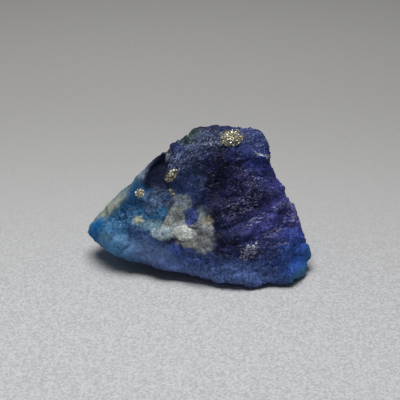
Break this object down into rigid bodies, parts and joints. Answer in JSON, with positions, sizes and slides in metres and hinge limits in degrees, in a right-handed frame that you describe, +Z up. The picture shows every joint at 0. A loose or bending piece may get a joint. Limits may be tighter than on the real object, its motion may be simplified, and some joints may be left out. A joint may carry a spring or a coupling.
{
  "type": "rough afghanite specimen",
  "caption": "Broken piece of deep blue rock with a pale mineral patch, stepped ledges and grains of pyrite, resting on a small flat spot.",
  "frame": {"origin": "under the middle of the stone's bounding box, on the surface that it rests on", "axes": "+X along the stone's longest side, to the right of its best face; +Y away from that face, to its back; +Z up"},
  "size_m": [0.0292, 0.016, 0.0175],
  "materials": {
    "blue_rock": "broken rock, matt with a waxy gleam on its small faces"
  },
  "bodies": {
    "root": {"afghanite_stone": "blue_rock"}
  },
  "joints": []
}
